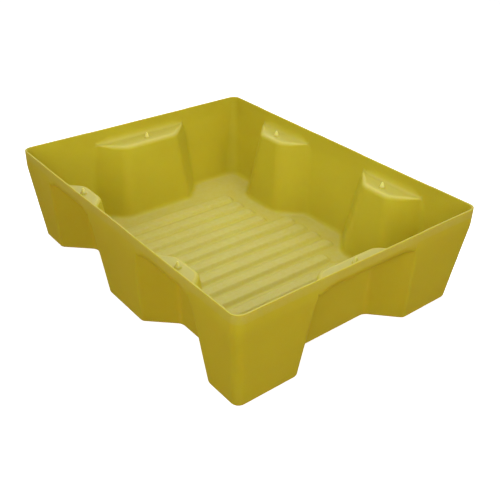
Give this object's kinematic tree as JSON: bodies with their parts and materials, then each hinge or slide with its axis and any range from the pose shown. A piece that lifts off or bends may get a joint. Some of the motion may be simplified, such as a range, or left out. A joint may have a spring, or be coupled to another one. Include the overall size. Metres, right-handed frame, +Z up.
{
  "type": "spill containment sump tray",
  "caption": "Open rectangular sump tray in one skin, with a ribbed floor and inward wall folds whose flat tops carry a loose deck grid below the rim.",
  "frame": {"origin": "centre of the base, on the surface that the tray stands on", "axes": "+X along the length, +Y across the width, +Z up"},
  "size_m": [1.3, 1, 0.357],
  "materials": {
    "yellow_polyethylene": "satin, fine moulded texture"
  },
  "bodies": {
    "root": {"sump_tray": "yellow_polyethylene"}
  },
  "joints": []
}
